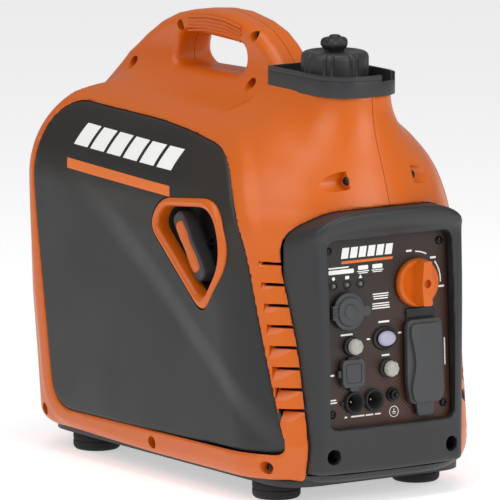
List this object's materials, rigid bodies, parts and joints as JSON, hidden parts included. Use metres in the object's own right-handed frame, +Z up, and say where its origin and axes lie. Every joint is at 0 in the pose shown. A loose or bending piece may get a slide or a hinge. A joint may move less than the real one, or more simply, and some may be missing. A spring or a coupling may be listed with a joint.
{
  "type": "inverter generator",
  "caption": "Portable petrol inverter generator in a two-half moulded case with carrying handle, side recoil starter and front control panel with covered outlets.",
  "frame": {"origin": "on the floor under the middle of the case", "axes": "+Z up, the control panel faces -Y, the recoil starter is on the -X side, the case is long in Y"},
  "size_m": [0.2695, 0.5021, 0.4555],
  "materials": {
    "orange_housing": "fine moulded satin",
    "charcoal_cover": "fine moulded texture",
    "black_plastic": "fine moulded texture",
    "soft_rubber": "matte",
    "rope_cord": "braided",
    "panel_decal": "printed satin film",
    "clear_boot": "translucent",
    "cast_alloy": "as cast",
    "rotor_iron": "as cast",
    "bright_steel": "satin",
    "copper_winding": "enamelled wire",
    "brass_terminal": "satin"
  },
  "bodies": {
    "case": {"left_shell": "orange_housing", "right_shell": "orange_housing", "starter_bezel": "orange_housing", "left_side_cover": "charcoal_cover", "right_side_cover": "charcoal_cover", "front_fascia": "charcoal_cover", "base_pan": "charcoal_cover", "fuel_tray": "charcoal_cover", "rear_cover": "black_plastic", "starter_bucket": "black_plastic", "recoil_housing": "black_plastic", "economy_bezel": "black_plastic", "usb_port": "black_plastic", "parallel_outlet_1": "black_plastic", "parallel_outlet_2": "black_plastic", "duplex_outlet": "black_plastic", "dc_breaker": "black_plastic", "ac_breaker": "black_plastic", "dc_socket": "black_plastic", "ignition_coil": "black_plastic", "air_filter_box": "black_plastic", "inverter_module": "black_plastic", "fuel_tank": "black_plastic", "foot_front_left": "soft_rubber", "foot_front_right": "soft_rubber", "foot_rear_left": "soft_rubber", "foot_rear_right": "soft_rubber", "engine_mount_front": "soft_rubber", "engine_mount_rear": "soft_rubber", "control_panel": "panel_decal", "oil_lamp": "clear_boot", "overload_lamp": "clear_boot", "output_lamp": "clear_boot", "crankcase": "cast_alloy", "cylinder_head": "cast_alloy", "carburettor": "cast_alloy", "spark_plug": "cast_alloy", "muffler": "bright_steel", "exhaust_outlet": "bright_steel", "stator": "copper_winding", "ground_terminal": "brass_terminal"},
    "cap_lift": {"cap_gasket": "soft_rubber"},
    "fuel_cap": {"fuel_cap": "charcoal_cover"},
    "vent_knob": {"cap_vent_knob": "charcoal_cover"},
    "dial": {"engine_dial": "orange_housing", "dial_spindle": "bright_steel"},
    "starter_grip": {"starter_grip": "soft_rubber", "starter_grip_insert": "orange_housing", "starter_rope": "rope_cord"},
    "recoil_reel": {"recoil_reel": "black_plastic"},
    "crankshaft": {"crankshaft": "bright_steel", "cooling_fan": "black_plastic", "magnet_rotor": "rotor_iron"},
    "outlet_cover": {"outlet_cover": "soft_rubber"},
    "dc_socket_cover": {"dc_socket_cover": "charcoal_cover"},
    "usb_cover": {"usb_cover": "soft_rubber"},
    "dc_breaker_button": {"dc_breaker_button": "clear_boot"},
    "ac_breaker_button": {"ac_breaker_button": "clear_boot"},
    "economy_rocker": {"economy_rocker": "clear_boot"},
    "oil_filler_cap": {"oil_filler_cap": "black_plastic"}
  },
  "joints": [
    {"name": "fuel_cap_lift", "type": "slide", "parent": "case", "child": "cap_lift", "axis": [0, 0, 1], "range_m": [0, 0.07]},
    {"name": "fuel_cap_turn", "type": "hinge", "parent": "cap_lift", "child": "fuel_cap", "pos_m": [0, -0.141, 0.42], "axis": [0, 0, 1], "range_deg": [0, 120]},
    {"name": "vent_knob_turn", "type": "hinge", "parent": "fuel_cap", "child": "vent_knob", "pos_m": [0, -0.141, 0.442], "axis": [0, 0, 1], "range_deg": [0, 90]},
    {"name": "engine_dial_turn", "type": "hinge", "parent": "case", "child": "dial", "pos_m": [0.0365, -0.23524, 0.21264], "axis": [0, -0.9988, 0.0494], "range_deg": [-100, 0]},
    {"name": "starter_pull", "type": "slide", "parent": "case", "child": "starter_grip", "axis": [-1, 0, 0], "range_m": [0, 0.55], "deforming": ["starter_rope"]},
    {"name": "recoil_reel_turn", "type": "hinge", "parent": "case", "child": "recoil_reel", "pos_m": [0, -0.0705, 0.179], "axis": [0, -1, 0], "range_deg": [0, 510]},
    {"name": "crankshaft_spin", "type": "hinge", "parent": "case", "child": "crankshaft", "pos_m": [0, 0.02, 0.179], "axis": [0, 1, 0], "continuous": true},
    {"name": "outlet_cover_hinge", "type": "hinge", "parent": "case", "child": "outlet_cover", "pos_m": [0.0405, -0.23355, 0.17602], "axis": [-1, 0, 0], "range_deg": [0, 95]},
    {"name": "dc_socket_cover_hinge", "type": "hinge", "parent": "case", "child": "dc_socket_cover", "pos_m": [-0.0665, -0.23281, 0.191], "axis": [0, -0.0494, -0.9988], "range_deg": [0, 95]},
    {"name": "usb_cover_hinge", "type": "hinge", "parent": "case", "child": "usb_cover", "pos_m": [-0.0595, -0.23455, 0.12951], "axis": [0, -0.0494, -0.9988], "range_deg": [0, 80]},
    {"name": "dc_breaker_press", "type": "slide", "parent": "case", "child": "dc_breaker_button", "axis": [0, 0.9988, -0.0494], "range_m": [0, 0.002], "stiffness_N_per_m": 400},
    {"name": "ac_breaker_press", "type": "slide", "parent": "case", "child": "ac_breaker_button", "axis": [0, 0.9988, -0.0494], "range_m": [0, 0.002], "stiffness_N_per_m": 400},
    {"name": "economy_rocker_tilt", "type": "hinge", "parent": "case", "child": "economy_rocker", "pos_m": [-0.002, -0.23284, 0.15996], "axis": [0, 0.0494, 0.9988], "range_deg": [-8, 8]},
    {"name": "oil_filler_cap_turn", "type": "hinge", "parent": "case", "child": "oil_filler_cap", "pos_m": [0.06, 0.008, 0.104], "axis": [1, 0, 0], "range_deg": [0, 270]}
  ],
  "couplings": [
    {"joint": "recoil_reel_turn", "follows": "starter_pull", "rad_per_m": 16.129}
  ]
}
